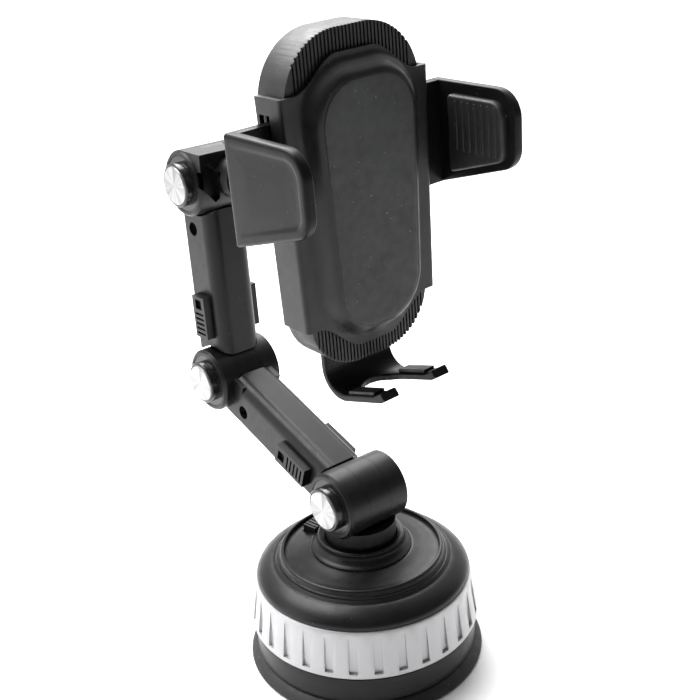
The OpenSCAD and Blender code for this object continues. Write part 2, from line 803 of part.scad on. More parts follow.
module front_cover() {
  color("#26272a") at_cradle() difference() {
    union() {
      plate_y(-shield_out, -shield_out + 1.6) shield_outline(2.4);
      plate_y(-shield_out + 1.5, -0.1) shield_outline(0);
      plate_y(-1.6, -0.1) cover_outline(cover_x, 0);
      plate_y(-1.6, cover_d) side_outline();
      plate_y(-1.6, cover_d) mirror([1, 0]) side_outline();
    }
    for (s = [-1, 1]) box([s > 0 ? house_x - 2 : -cover_x - 1, rack_y - 0.5, jaw_rear - 1.2],
                          [s > 0 ? cover_x + 1 : -house_x + 2, rack_y + rack_t + 0.5, 31.2]);
    plate_y(-shield_out - 1, -shield_out + 1.2) pad_outline(0.15);
    for (p = screw_spots) translate([p[0], 0, p[1]]) rod_y(2.1, -1.1, 1);
  }
}

// the raised middle of the cover follows the arches but stops short of the sides
module shield_outline(inset) {
  intersection() {
    cover_outline(21.5 - inset, inset);
    union() {
      translate([-21.5 + inset, -30]) square([43 - 2 * inset, 60]);
      for (s = [-1, 1]) for (t = [-1, 1]) translate([s * 6.5, t > 0 ? 30 : -26])
        circle(r = 15 - inset);
      translate([-6.5, -44]) square([13, 92]);
    }
  }
}

module front_pad() {
  color("#3a3b3c") at_cradle() plate_y(-shield_out + 0.3, -shield_out + 1.2) pad_outline(0);
}

// ---------------------------------------------------------------- jaws

// side view of a jaw plate in Y-Z; inset shrinks it towards its middle
module jaw_outline(inset) {
  r1 = jaw_r_top - inset;
  r2 = jaw_r_low - inset;
  y1 = jaw_r_top - jaw_reach;
  y2 = jaw_r_low - jaw_reach;
  yr = rack_y + rack_t - inset;
  union() {
    polygon([
      [yr, jaw_top - inset], [y1, jaw_top - inset], [inset - jaw_reach, jaw_top - jaw_r_top],
      [inset - jaw_reach, jaw_mid_z], [y2 - r2 * sin(jaw_slope), jaw_mid_z - r2 * cos(jaw_slope)],
      [yr, jaw_rear + inset * (tan(jaw_slope) + 1 / cos(jaw_slope))]
    ]);
    translate([y1, jaw_top - jaw_r_top]) circle(r = r1);
    translate([y2, jaw_mid_z]) circle(r = r2);
  }
}

// extrude a Y-Z outline between two x positions
module plate_x(x0, x1) {
  translate([x0, 0, 0]) rotate([90, 0, 90]) linear_extrude(x1 - x0) children();
}

// a jaw on the +X side; rack_up puts its rack above the pinion, and a slot in the
// arm leaves room for the other jaw's rack
module jaw(rack_up) {
  side = rack_up ? 1 : -1;
  root = pinion_z + side * (pinion_r + 0.75);
  back = root + side * 3.2;
  tip = root - side * 1.15;
  difference() {
    union() {
      plate_x(jaw_x - 3.2, jaw_x) jaw_outline(0);
      intersection() {
        plate_x(14, jaw_x - 2) jaw_outline(0);
        box([14, rack_y, -10], [jaw_x - 2, rack_y + rack_t, jaw_top]);
      }
      box([-rack_end, rack_y, min(root, back)], [15, rack_y + rack_t, max(root, back)]);
      for (k = [-4:2]) translate([(k + 0.5) * tooth_pitch, 0, root])
        plate_y(rack_y, rack_y + rack_t)
          polygon([[-0.85, 0.2 * side], [0.85, 0.2 * side],
                   [0.42, tip - root], [-0.42, tip - root]]);
    }
    plate_x(jaw_x - 0.6, jaw_x + 1) intersection() {
      jaw_outline(3);
      translate([-jaw_reach, -10]) square([jaw_reach - 3, 50]);
    }
    box([13, rack_y - 1, 2 * pinion_z - max(tip, back) - 0.5],
        [25.8, rack_y + rack_t + 1, 2 * pinion_z - min(tip, back) + 0.5]);
  }
}

module right_jaw() {
  color("#1f2022") at_cradle() jaw(true);
}

module left_jaw() {
  color("#1f2022") at_cradle() mirror([1, 0, 0]) jaw(false);
}

module jaw_pad(x0) {
  color("#121315") at_cradle() plate_x(x0, x0 + 2.2) difference() {
    jaw_outline(3.4);
    translate([rack_y - 5, -20]) square([20, 60]);
  }
}

module left_jaw_pad() { jaw_pad(-jaw_x + 3.2); }
module right_jaw_pad() { jaw_pad(jaw_x - 5.4); }

module jaw_pinion() {
  teeth = 12;
  color("#cfd1d3") at_cradle() translate([0, 0, pinion_z]) difference() {
    union() {
      rod_y(pinion_r - 0.7, rack_y, rack_y + rack_t);
      for (i = [0:teeth - 1]) rotate([0, 360 / teeth * i, 0])
        plate_y(rack_y, rack_y + rack_t)
          polygon([[pinion_r - 1.2, -0.8], [pinion_r + 0.45, -0.42],
                   [pinion_r + 0.45, 0.42], [pinion_r - 1.2, 0.8]]);
    }
    rod_y(2.4 + fit, 0, 20);
  }
}

// ---------------------------------------------------------------- foot

// height of a line along the prongs, at a radius r from the bend's centre
function prong_z(y, r) =
  bend_z - r / cos(foot_rise) - (y - bend_y) * tan(foot_rise);

// points of an arc round the bend's centre, from the stem to the prong
function bend_arc(r) = let (n = 12) [
  for (i = [0:n]) let (a = -(90 + foot_rise) * i / n) [bend_y + r * cos(a), bend_z + r * sin(a)]
];

// list in the opposite order
function backwards(list) = [for (i = [len(list) - 1:-1:0]) list[i]];

// side view of the foot in Y-Z: stem, bend and rising prong with a turned-up tip
module foot_profile() {
  in_r = bend_r - foot_t;
  polygon(concat(
    [[foot_back - foot_t, -18.6]], bend_arc(in_r),
    [[-14.2, prong_z(-14.2, in_r)], [-17.6, -49], [-19.4, -51.2], [-17, prong_z(-17, bend_r)]],
    backwards(bend_arc(bend_r)), [[foot_back, -18.6]]
  ));
}

// gap between the prongs, seen from above, with a round inner end
module foot_notch() {
  n = 12;
  polygon(concat(
    [[-foot_gap, -30], [foot_gap, -30]],
    [for (i = [0:n]) let (a = 180 * i / n)
      [foot_gap * cos(a), 3 - foot_gap + foot_gap * sin(a)]]
  ));
}

module foot_bracket() {
  color("#1f2022") at_cradle() difference() {
    plate_x(-foot_x, foot_x) foot_profile();
    translate([0, 0, -70]) linear_extrude(30) foot_notch();
  }
}

// soft strips lying along the upper faces of the prongs
module foot_pads() {
  in_r = bend_r - foot_t;
  color("#121315") at_cradle() for (s = [-1, 1])
    plate_x(s > 0 ? foot_gap + 0.9 : -foot_x + 0.9, s > 0 ? foot_x - 0.9 : -foot_gap - 0.9)
      polygon([[-1.5, prong_z(-1.5, in_r)], [-1.5, prong_z(-1.5, in_r - 1)],
               [-13.4, prong_z(-13.4, in_r - 1)], [-13.4, prong_z(-13.4, in_r)]]);
}

// ---------------------------------------------------------------- nodes

suction_pad();
lower_shell();
base_cover();
base_rim();
base_plate();
base_collar();
base_screws();
twist_ring();
cam_sleeve();
lift_plate();
lift_stud();
lift_spring();
vacuum_button();
vacuum_spring();
swivel_fork();
swivel_washer();
swivel_screw();
at_bottom_pivot() pivot_bolt();  // bottom_bolt
at_bottom_pivot() pivot_nut();  // bottom_nut
at_bottom_pivot() pivot_button();  // bottom_button
at_bottom_pivot() pivot_cap();  // bottom_cap
at_bottom_pivot() pivot_spring();  // bottom_spring
color("#222326") at_lower() half(-1) arm_body(true);  // lower_arm_left
color("#222326") at_lower() half(1) arm_body(true);  // lower_arm_right
at_lower() arm_screws();  // lower_arm_screws
at_lower() squeeze_tab(-1);  // lower_tab_left
at_lower() squeeze_tab(1);  // lower_tab_right
at_lower() tab_spring();  // lower_tab_spring
at_middle_pivot() pivot_bolt();  // middle_bolt
at_middle_pivot() pivot_nut();  // middle_nut
at_middle_pivot() pivot_button();  // middle_button
at_middle_pivot() pivot_cap();  // middle_cap
at_middle_pivot() pivot_spring();  // middle_spring
color("#222326") at_upper() half(-1) arm_body(false);  // upper_arm_left
color("#222326") at_upper() half(1) arm_body(false);  // upper_arm_right
at_upper() arm_screws();  // upper_arm_screws
at_upper() squeeze_tab(-1);  // upper_tab_left
at_upper() squeeze_tab(1);  // upper_tab_right
at_upper() tab_spring();  // upper_tab_spring
at_top_pivot() pivot_bolt();  // top_bolt
at_top_pivot() pivot_nut();  // top_nut
at_top_pivot() pivot_button();  // top_button
at_top_pivot() pivot_cap();  // top_cap
at_top_pivot() pivot_spring();  // top_spring
head_fork();
ball_stud();
ball_socket();
ball_nut();
socket_screws();
rear_housing();
front_cover();
front_pad();
housing_screws();
jaw_pinion();
left_jaw();
right_jaw();
left_jaw_pad();
right_jaw_pad();
foot_bracket();
foot_pads();
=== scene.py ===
"""Dashboard phone mount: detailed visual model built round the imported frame."""
import json
import math

import bmesh
import bpy
from mathutils import Matrix, Vector


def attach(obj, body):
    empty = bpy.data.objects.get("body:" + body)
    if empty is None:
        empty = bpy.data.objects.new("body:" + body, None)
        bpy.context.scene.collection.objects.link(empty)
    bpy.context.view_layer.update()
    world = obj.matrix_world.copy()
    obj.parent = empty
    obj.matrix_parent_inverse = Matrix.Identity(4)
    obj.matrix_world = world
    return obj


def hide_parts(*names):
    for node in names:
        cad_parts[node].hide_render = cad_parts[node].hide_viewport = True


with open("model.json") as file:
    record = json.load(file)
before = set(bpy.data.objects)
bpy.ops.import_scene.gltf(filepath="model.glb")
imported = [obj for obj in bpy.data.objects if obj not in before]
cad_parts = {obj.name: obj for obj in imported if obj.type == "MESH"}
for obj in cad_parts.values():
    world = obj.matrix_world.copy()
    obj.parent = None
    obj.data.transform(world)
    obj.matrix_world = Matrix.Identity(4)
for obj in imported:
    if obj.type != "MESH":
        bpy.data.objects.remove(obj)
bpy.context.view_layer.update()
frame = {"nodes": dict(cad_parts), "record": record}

MM = 0.001
RECORD = frame["record"]
JOINTS = {j["name"]: j for j in RECORD["behaviour"]["joints"]}
MOUNTS = {m["name"]: m for m in RECORD["mounts"]}
NODE_SLOT = {p["node"]: p["material_slot"] for p in RECORD["subparts"]}
PIVOTS = [JOINTS[name + "_pivot"]["pos_m"] for name in ("bottom", "middle", "top")]


# ------------------------------------------------------------------ materials

class Shader:
    """A material under construction: one principled shader with its node tree."""

    def __init__(self, name):
        self.material = bpy.data.materials.new(name)
        self.material.use_nodes = True
        self.tree = self.material.node_tree
        self.bsdf = self.tree.nodes["Principled BSDF"]
        self.coords = self.node("ShaderNodeTexCoord").outputs["Object"]

    def node(self, kind, **values):
        made = self.tree.nodes.new(kind)
        for key, value in values.items():
            if hasattr(made, key):
                setattr(made, key, value)
            else:
                made.inputs[key.replace("_", " ")].default_value = value
        return made

    def link(self, out, into):
        self.tree.links.new(out, into)

    def noise(self, per_mm, detail):
        """Noise in the piece's own space, with this many features to a millimetre."""
        mapping = self.node("ShaderNodeMapping")
        mapping.inputs["Scale"].default_value = [per_mm / MM] * 3
        self.link(self.coords, mapping.inputs["Vector"])
        made = self.node("ShaderNodeTexNoise", Scale=1.0, Detail=detail)
        self.link(mapping.outputs["Vector"], made.inputs["Vector"])
        return made.outputs["Fac"]

    def ramp(self, fac, stops):
        """Colour ramp from (position, colour) stops."""
        made = self.node("ShaderNodeValToRGB")
        elements = made.color_ramp.elements
        while len(elements) < len(stops):
            elements.new(0.5)
        for element, (pos, colour) in zip(elements, stops):
            element.position = pos
            element.color = (*colour, 1)
        self.link(fac, made.inputs["Fac"])
        return made.outputs["Color"]

    def remap(self, value, low, high):
        """Spreads the middle of a noise value over a range."""
        made = self.node("ShaderNodeMapRange")
        for key, number in (("From Min", 0.3), ("From Max", 0.7),
                            ("To Min", low), ("To Max", high)):
            made.inputs[key].default_value = number
        self.link(value, made.inputs["Value"])
        return made.outputs["Result"]

    def bump(self, height, distance_mm):
        """Surface relief of this depth."""
        made = self.node("ShaderNodeBump", Strength=1.0, Distance=distance_mm * MM)
        self.link(height, made.inputs["Height"])
        self.link(made.outputs["Normal"], self.bsdf.inputs["Normal"])


def moulded(name, colour, rough, grain=0.02, grain_per_mm=3.0, dust=0.0, specular=0.5):
    """Moulded plastic or rubber: mottled colour, uneven gloss, fine grain, dust specks."""
    s = Shader(name)
    dark = [c * 0.88 for c in colour]
    light = [c * 1.12 for c in colour]
    tone = s.ramp(s.noise(0.12, 4), [(0.35, dark), (0.65, light)])
    if dust:
        speck = s.ramp(s.noise(1.1, 1), [(0.765, (0, 0, 0)), (0.79, (dust,) * 3)])
        mix = s.node("ShaderNodeMix", data_type="RGBA", blend_type="ADD")
        mix.inputs["Factor"].default_value = 1.0
        s.link(tone, mix.inputs[6])
        s.link(speck, mix.inputs[7])
        tone = mix.outputs[2]
    s.link(tone, s.bsdf.inputs["Base Color"])
    s.link(s.remap(s.noise(0.35, 5), rough * 0.86, rough * 1.14), s.bsdf.inputs["Roughness"])
    s.bump(s.noise(grain_per_mm, 2), grain)
    s.bsdf.inputs["Specular IOR Level"].default_value = specular
    return s.material


def metal(name, colour, rough):
    """Plain metal with fine marks in its colour, gloss and surface."""
    s = Shader(name)
    marks = s.noise(2.0, 4)
    s.link(s.ramp(marks, [(0.3, [c * 0.86 for c in colour]), (0.7, colour)]),
           s.bsdf.inputs["Base Color"])
    s.link(s.remap(marks, rough * 0.75, rough * 1.25), s.bsdf.inputs["Roughness"])
    s.bump(marks, 0.01)
    s.bsdf.inputs["Metallic"].default_value = 1.0
    return s.material


CAP_REACH = 0.02


def turned_cap(name, pivots, colour, rough):
    """Spun metal face: painted highlight in bright spokes round the nearest pivot axis, over a fine
    grain in the surface.
    """
    s = Shader(name)
    nearest = None
    for pivot in pivots:
        offset = s.node("ShaderNodeVectorMath", operation="SUBTRACT")
        s.link(s.coords, offset.inputs[0])
        offset.inputs[1].default_value = pivot
        parts = s.node("ShaderNodeSeparateXYZ")
        s.link(offset.outputs["Vector"], parts.inputs["Vector"])
        angle = s.node("ShaderNodeMath", operation="ARCTAN2")
        s.link(parts.outputs["Y"], angle.inputs[0])
        s.link(parts.outputs["Z"], angle.inputs[1])
        far = s.node("ShaderNodeVectorMath", operation="LENGTH")
        s.link(offset.outputs["Vector"], far.inputs[0])
        close = s.node("ShaderNodeMath", operation="LESS_THAN")
        s.link(far.outputs["Value"], close.inputs[0])
        close.inputs[1].default_value = CAP_REACH
        share = s.node("ShaderNodeMath", operation="MULTIPLY")
        s.link(angle.outputs["Value"], share.inputs[0])
        s.link(close.outputs["Value"], share.inputs[1])
        if nearest is not None:
            total = s.node("ShaderNodeMath", operation="ADD")
            s.link(nearest, total.inputs[0])
            s.link(share.outputs["Value"], total.inputs[1])
            nearest = total.outputs["Value"]
        else:
            nearest = share.outputs["Value"]
    # The spokes are painted highlight: colour that brightens and darkens with the angle round the
    # pivot, standing in for the streaks of reflection on a spun face.
    highlight_spokes = s.node("ShaderNodeTexNoise", noise_dimensions="1D", Scale=1.6, Detail=5.0)
    s.link(nearest, highlight_spokes.inputs["W"])
    s.link(s.ramp(highlight_spokes.outputs["Fac"], [(0.35, [c * 0.55 for c in colour]), (0.6, colour)]),
           s.bsdf.inputs["Base Color"])
    s.link(s.remap(highlight_spokes.outputs["Fac"], rough * 0.8, rough * 1.2), s.bsdf.inputs["Roughness"])
    s.bump(s.noise(3.0, 3), 0.003)
    s.bsdf.inputs["Metallic"].default_value = 1.0
    return s.material


def satin_silver(name, colour, rough):
    """Silver lacquer over plastic: fine flake sparkle under a thin clear coat."""
    s = Shader(name)
    flake = s.noise(6.0, 2)
    s.link(s.ramp(flake, [(0.3, [c * 0.93 for c in colour]), (0.7, colour)]),
           s.bsdf.inputs["Base Color"])
    s.link(s.remap(s.noise(0.3, 4), rough * 0.85, rough * 1.15), s.bsdf.inputs["Roughness"])
    s.bump(flake, 0.004)
    s.bsdf.inputs["Metallic"].default_value = 0.35
    s.bsdf.inputs["Coat Weight"].default_value = 0.25
    s.bsdf.inputs["Coat Roughness"].default_value = 0.25
    return s.material


MATERIALS = {
    "black_plastic": moulded("black_plastic", (0.0065, 0.0065, 0.007), 0.36, dust=0.05,
                             specular=0.28),
    "black_gloss": moulded("black_gloss", (0.010, 0.010, 0.011), 0.22, 0.004, 2.0),
    "shell_plastic": moulded("shell_plastic", (0.009, 0.009, 0.0095), 0.40, dust=0.05,
                             specular=0.4),
    "jaw_plastic": moulded("jaw_plastic", (0.006, 0.006, 0.0065), 0.33, dust=0.05,
                           specular=0.16),
    # side_plastic is a lighter copy of the black plastic: painted light for the housing's side, which
    # faces the light from the left.
    "side_plastic": moulded("side_plastic", (0.012, 0.012, 0.0125), 0.48, dust=0.04),
    "silver_plastic": satin_silver("silver_plastic", (0.50, 0.50, 0.51), 0.38),
    # The caps carry painted highlight spokes in their colour.
    "silver_cap": turned_cap("silver_cap", PIVOTS, (0.50, 0.50, 0.50), 0.36),
    "steel": metal("steel", (0.62, 0.63, 0.65), 0.32),
    "spring_steel": metal("spring_steel", (0.52, 0.53, 0.55), 0.38),
    "inner_plastic": moulded("inner_plastic", (0.10, 0.105, 0.11), 0.55),
    "rubber": moulded("rubber", (0.011, 0.011, 0.012), 0.55, 0.03, 2.5, dust=0.2),
    "pad_rubber": moulded("pad_rubber", (0.030, 0.031, 0.031), 0.62, 0.02, 4.0, dust=0.12),
    "brass": metal("brass", (0.78, 0.62, 0.34), 0.3),
}


# ------------------------------------------------------------------ CAD nodes

def dress(node, width):
    """Gives a carried-over CAD node its material and, where it has a width, softened edges."""
    obj = frame["nodes"][node]
    obj.data.materials.clear()
    obj.data.materials.append(MATERIALS[LOOKS.get(node, NODE_SLOT[node])])
    if not width:
        return
    weld = obj.modifiers.new("weld", "WELD")
    weld.merge_threshold = 1e-6
    bevel = obj.modifiers.new("soft_edges", "BEVEL")
    bevel.width = width * MM
    bevel.segments = 2
    bevel.limit_method = "ANGLE"
    bevel.angle_limit = math.radians(35)
    bevel.harden_normals = True


# The rear housing takes side_plastic, the lighter copy that paints in the light falling on its side.
LOOKS = {"rear_housing": "side_plastic", "foot_bracket": "jaw_plastic", "base_rim": "black_plastic",
         "lower_shell": "black_plastic"}
EDGE_WIDTH = 0.22
EDGE_WIDTHS = {"foot_bracket": 0.6, "twist_ring": 0.3, "swivel_fork": 0, "head_fork": 0,
               "lower_arm_left": 0, "lower_arm_right": 0, "upper_arm_left": 0,
               "upper_arm_right": 0}
for node in frame["nodes"]:
    dress(node, EDGE_WIDTHS.get(node, EDGE_WIDTH))


# ------------------------------------------------------------------ shape helpers

def inset_corners(corners, inset):
    """Corners of a convex outline, counterclockwise, moved in by one distance."""
    moved = []
    for i, corner in enumerate(corners):
        here = Vector(corner)
        before = (here - Vector(corners[i - 1])).normalized()
        after = (Vector(corners[(i + 1) % len(corners)]) - here).normalized()
        n_before = Vector((-before.y, before.x))
        n_after = Vector((-after.y, after.x))
        moved.append(here + (n_before + n_after) * inset / (1 + n_before.dot(n_after)))
    return moved


def rounded(corners, radii, inset=0.0, steps=8):
    """Outline with an arc at each corner, moved in by the inset."""
    corners = inset_corners(corners, inset)
    points = []
    for i, here in enumerate(corners):
        to_before = corners[i - 1] - here
        to_after = corners[(i + 1) % len(corners)] - here
        half = to_before.angle(to_after) / 2
        reach = max(radii[i] - inset, 0.05) / math.tan(half)
        reach = min(reach, to_before.length * 0.49, to_after.length * 0.49)
        radius = reach * math.tan(half)
        middle = (to_before.normalized() + to_after.normalized()).normalized()
        centre = here + middle * radius / math.sin(half)
        first = here + to_before.normalized() * reach - centre
        last = here + to_after.normalized() * reach - centre
        start = math.atan2(first.y, first.x)
        sweep = math.atan2(first.x * last.y - first.y * last.x, first.dot(last))
        for k in range(steps + 1):
            angle = start + sweep * k / steps
            points.append(centre + radius * Vector((math.cos(angle), math.sin(angle))))
    return points


def edge_rings(near, far, near_edge, far_edge, steps=4):
    """Insets and depths of the rings that round both edges of a slab."""
    sign = 1 if far > near else -1
    rings = []
    for k in range(steps + 1):
        turn = math.pi / 2 * k / steps
        rings.append((near_edge * (1 - math.sin(turn)), near + sign * near_edge * (1 - math.cos(turn))))
    for k in range(steps, -1, -1):
        turn = math.pi / 2 * k / steps
        rings.append((far_edge * (1 - math.sin(turn)), far - sign * far_edge * (1 - math.cos(turn))))
    return rings


class Shell:
    """Collects vertices in millimetres and faces for one piece."""

    def __init__(self):
        self.verts = []
        self.faces = []

    def ring(self, points):
        start = len(self.verts)
        self.verts.extend(points)
        return list(range(start, start + len(points)))

    def join(self, first, second):
        count = len(first)
        for i in range(count):
            k = (i + 1) % count
            self.faces.append((first[i], first[k], second[k], second[i]))

    def stack(self, rings):
        """Rings joined in order, closed by a face at each end."""
        made = [self.ring(r) for r in rings]
        for first, second in zip(made, made[1:]):
            self.join(first, second)
        self.faces.append(tuple(reversed(made[0])))
        self.faces.append(tuple(made[-1]))


def piece(name, shell, material, body, replaces=()):
    """Turns a shell into a smooth-shaded object that rides on a body."""
    mesh = bpy.data.meshes.new(name)
    mesh.from_pydata([Vector(v) * MM for v in shell.verts], [], shell.faces)
    work = bmesh.new()
    work.from_mesh(mesh)
    bmesh.ops.remove_doubles(work, verts=work.verts, dist=1e-7)
    bmesh.ops.recalc_face_normals(work, faces=work.faces)
    work.to_mesh(mesh)
    work.free()
    for polygon in mesh.polygons:
        polygon.use_smooth = True
    mesh.set_sharp_from_angle(angle=math.radians(38))
    mesh.materials.append(MATERIALS[material])
    obj = bpy.data.objects.new(name, mesh)
    bpy.context.scene.collection.objects.link(obj)
    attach(obj, body)
    if replaces:
        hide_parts(*replaces)
    return obj


# ------------------------------------------------------------------ cradle

ROLL = math.atan2(JOINTS["right_jaw_slide"]["axis"][2], JOINTS["right_jaw_slide"]["axis"][0])
PHONE_FACE_LOCAL = Vector((0, -6.2, 2))
CRADLE_TURN = Matrix.Rotation(-ROLL, 3, "Y")
CRADLE_ORIGIN = Vector(MOUNTS["phone_face"]["pos_m"]) / MM - CRADLE_TURN @ PHONE_FACE_LOCAL
COVER_X, COVER_TAPER = 26.3, 1.6
COVER_DEPTH, COVER_WALL = 10.0, 1.5
COVER_TOP, COVER_BOTTOM = 36.0, -31.5
ARCH_UP, ARCH_DOWN = 8.9, 9.3
BAND_Y, SHIELD_Y, PAD_Y = -1.6, -6.0, -6.3
SLOT_Y, SLOT_Z = (4.1, 8.7), (-4.4, 31.2)
PAD_CORNERS = ((-13.8, -33.5), (13.8, -33.5), (16.5, 38.0), (-16.5, 38.0))
PAD_RADIUS = 12.0


def cradle(x, y, z):
    """World place, in millimetres, of a point in the cradle's own frame."""
    return CRADLE_ORIGIN + CRADLE_TURN @ Vector((x, y, z))


def ease(x, inner, outer):
    """1 within the inner half width, 0 beyond the outer, a cosine between."""
    part = min(max((abs(x) - inner) / (outer - inner), 0), 1)
    return 0.5 + 0.5 * math.cos(math.pi * part)


def pad_distance(x, z):
    """Distance outside the soft pad's outline, negative inside."""
    low, high = PAD_CORNERS[0][1], PAD_CORNERS[2][1]
    share = (z - low) / (high - low)
    half = PAD_CORNERS[1][0] + (PAD_CORNERS[2][0] - PAD_CORNERS[1][0]) * share
    qx = abs(x) - (half - PAD_RADIUS)
    qz = abs(z - (low + high) / 2) - ((high - low) / 2 - PAD_RADIUS)
    return math.hypot(max(qx, 0), max(qz, 0)) + min(max(qx, qz), 0) - PAD_RADIUS


def spread(start, end, count):
    """Even steps from the start, without the end."""
    return [start + (end - start) * k / count for k in range(count)]


def front_cover():
    """One skin: side walls, rounded corners and a front swelling up to the soft pad."""
    corner = 1.3
    wall = spread(COVER_DEPTH, SLOT_Y[1], 2) + spread(SLOT_Y[1], SLOT_Y[0], 4)
    wall += spread(SLOT_Y[0], BAND_Y + corner, 5)
    path = [(-1.0, y, 0.0) for y in wall]
    for k in range(6):
        turn = math.pi / 2 * k / 6
        path.append((-1.0, BAND_Y + corner * (1 - math.sin(turn)), corner * (1 - math.cos(turn))))
    half = COVER_X - corner
    path += [(x / half, BAND_Y, corner) for x in spread(-half, 0, 34)] + [(0.0, BAND_Y, corner)]
    path += [(-side, y, inset) for side, y, inset in reversed(path[:-1])]
    heights = spread(COVER_BOTTOM, SLOT_Z[0], 22) + spread(SLOT_Z[0], SLOT_Z[1], 30)
    heights += spread(SLOT_Z[1], COVER_TOP, 6) + [COVER_TOP]
    shell = Shell()
    rows = []
    for height in heights:
        share = (height - COVER_BOTTOM) / (COVER_TOP - COVER_BOTTOM)
        row = []
        for side, y, inset in path:
            x = side * (COVER_X - COVER_TAPER * (1 - share) - inset)
            low = COVER_BOTTOM - ARCH_DOWN * ease(x, 5, 21)
            high = COVER_TOP + ARCH_UP * ease(x, 6, 22)
            z = low + (high - low) * share
            if inset == corner:
                y -= (BAND_Y - SHIELD_Y) * ease(max(pad_distance(x, z), 0), 0.6, 5.2)
            row.append(cradle(x, y, z))
        rows.append(shell.ring(row))
    for k, (first, second) in enumerate(zip(rows, rows[1:])):
        in_height = SLOT_Z[0] - 0.01 <= heights[k] and heights[k + 1] <= SLOT_Z[1] + 0.01
        for i in range(len(path) - 1):
            ys = sorted((path[i][1], path[i + 1][1]))
            if in_height and ys[0] >= SLOT_Y[0] - 0.01 and ys[1] <= SLOT_Y[1] + 0.01:
                continue
            shell.faces.append((first[i], first[i + 1], second[i + 1], second[i]))
    obj = piece("cover_skin", shell, "shell_plastic", "cradle", ["front_cover"])
    solid = obj.modifiers.new("wall", "SOLIDIFY")
    solid.thickness = COVER_WALL * MM
    solid.offset = -1
    solid.use_even_offset = True
    bevel = obj.modifiers.new("edges", "BEVEL")
    bevel.width = 0.35 * MM
    bevel.segments = 3
    bevel.limit_method = "ANGLE"
    bevel.angle_limit = math.radians(50)
    bevel.harden_normals = True


def front_pad():
    """Soft pad: a rounded slab with a barely crowned face."""
    shell = Shell()
    rings = edge_rings(SHIELD_Y + 0.6, PAD_Y, 0.05, 0.45)
    rings += [(inset, PAD_Y - 0.012 * inset) for inset in (2.0, 5.0, 9.0, 13.0)]
    radii = [PAD_RADIUS] * 4
    shell.stack([[cradle(p.x, y, p.y) for p in rounded(PAD_CORNERS, radii, inset, 12)]
                 for inset, y in rings])
    piece("pad_skin", shell, "pad_rubber", "cradle", ["front_pad"])


JAW_X, JAW_PLATE, JAW_REACH = 39.0, 3.2, 26.3
RACK_Y, RACK_THICK = 4.6, 3.6
JAW_CORNERS = ((-JAW_REACH, 7.0), (RACK_Y + RACK_THICK, -3.2), (RACK_Y + RACK_THICK, 29.0),
               (-JAW_REACH, 29.0))
JAW_RADII = (7.0, 0.8, 1.2, 8.0)
PANEL_STEPS = ((2.2, 0), (2.7, 0.1), (3.2, 0.5), (3.8, 0.6), (5.5, 0.6), (7.5, 0.6), (9.5, 0.6))
PANEL_BORDER = 2.0
PANEL_FADE_START, PANEL_FADE_LENGTH = 1.0, 7.0
PINION_Z, TOOTH_PITCH, RACK_HEIGHT = 14.5, math.pi, 3.2
ARM_X, ARM_SLOT_X, ARM_SLOT_HALF, ARM_Z = 14.0, 25.8, 2.68, (-2.2, 28.8)


def rack_outline(side):
    """Rack bar in X-Z with its teeth towards the pinion; side is 1 above it, -1 below."""
    root = PINION_Z + side * 6.75
    points = [(15.0, root + side * RACK_HEIGHT), (15.0, root)]
    for k in range(2, -5, -1):
        x = (k + 0.5) * TOOTH_PITCH
        tip = root - side * 1.15
        points += [(x + 0.85, root), (x + 0.42, tip), (x - 0.42, tip), (x - 0.85, root)]
    return points + [(-13.5, root), (-13.5, root + side * RACK_HEIGHT)]


def jaw(name, side):
    """Jaw: rounded plate with a shallow panel outside, its slotted arm and its rack."""
    shell = Shell()
    rings = edge_rings(JAW_X - JAW_PLATE, JAW_X, 0.5, 1.1, 5)
    rings += [(inset, JAW_X - depth) for inset, depth in PANEL_STEPS]
    stack = []
    for inset, x in rings:
        ring = []
        for p in rounded(JAW_CORNERS, JAW_RADII, inset, 10):
            depth = JAW_X - x if inset > PANEL_BORDER else 0
            fade = min(max((-p.x - PANEL_FADE_START) / PANEL_FADE_LENGTH, 0), 1)
            ring.append(cradle(side * (x + depth * (1 - fade)), p.x, p.y))
        stack.append(ring)
    shell.stack(stack)
    middle = PINION_Z - side * 7.78
    for x0, x1, z0, z1 in ((ARM_SLOT_X, JAW_X - 2, ARM_Z[0], ARM_Z[1]),
                           (ARM_X, ARM_SLOT_X + 0.5, ARM_Z[0], middle - ARM_SLOT_HALF),
                           (ARM_X, ARM_SLOT_X + 0.5, middle + ARM_SLOT_HALF, ARM_Z[1])):
        arm = ((x0, z0), (x1, z0), (x1, z1), (x0, z1))
        shell.stack([[cradle(side * p.x, y, p.y) for p in rounded(arm, [0.4] * 4, inset, 3)]
                     for inset, y in edge_rings(RACK_Y, RACK_Y + RACK_THICK, 0.3, 0.3)])
    shell.stack([[cradle(side * x, y, z) for x, z in rack_outline(side)]
                 for y in (RACK_Y + 0.1, RACK_Y + RACK_THICK - 0.1)])
    piece(name + "_plate", shell, "jaw_plastic", "jaw_r" if side > 0 else "jaw_l", [name])


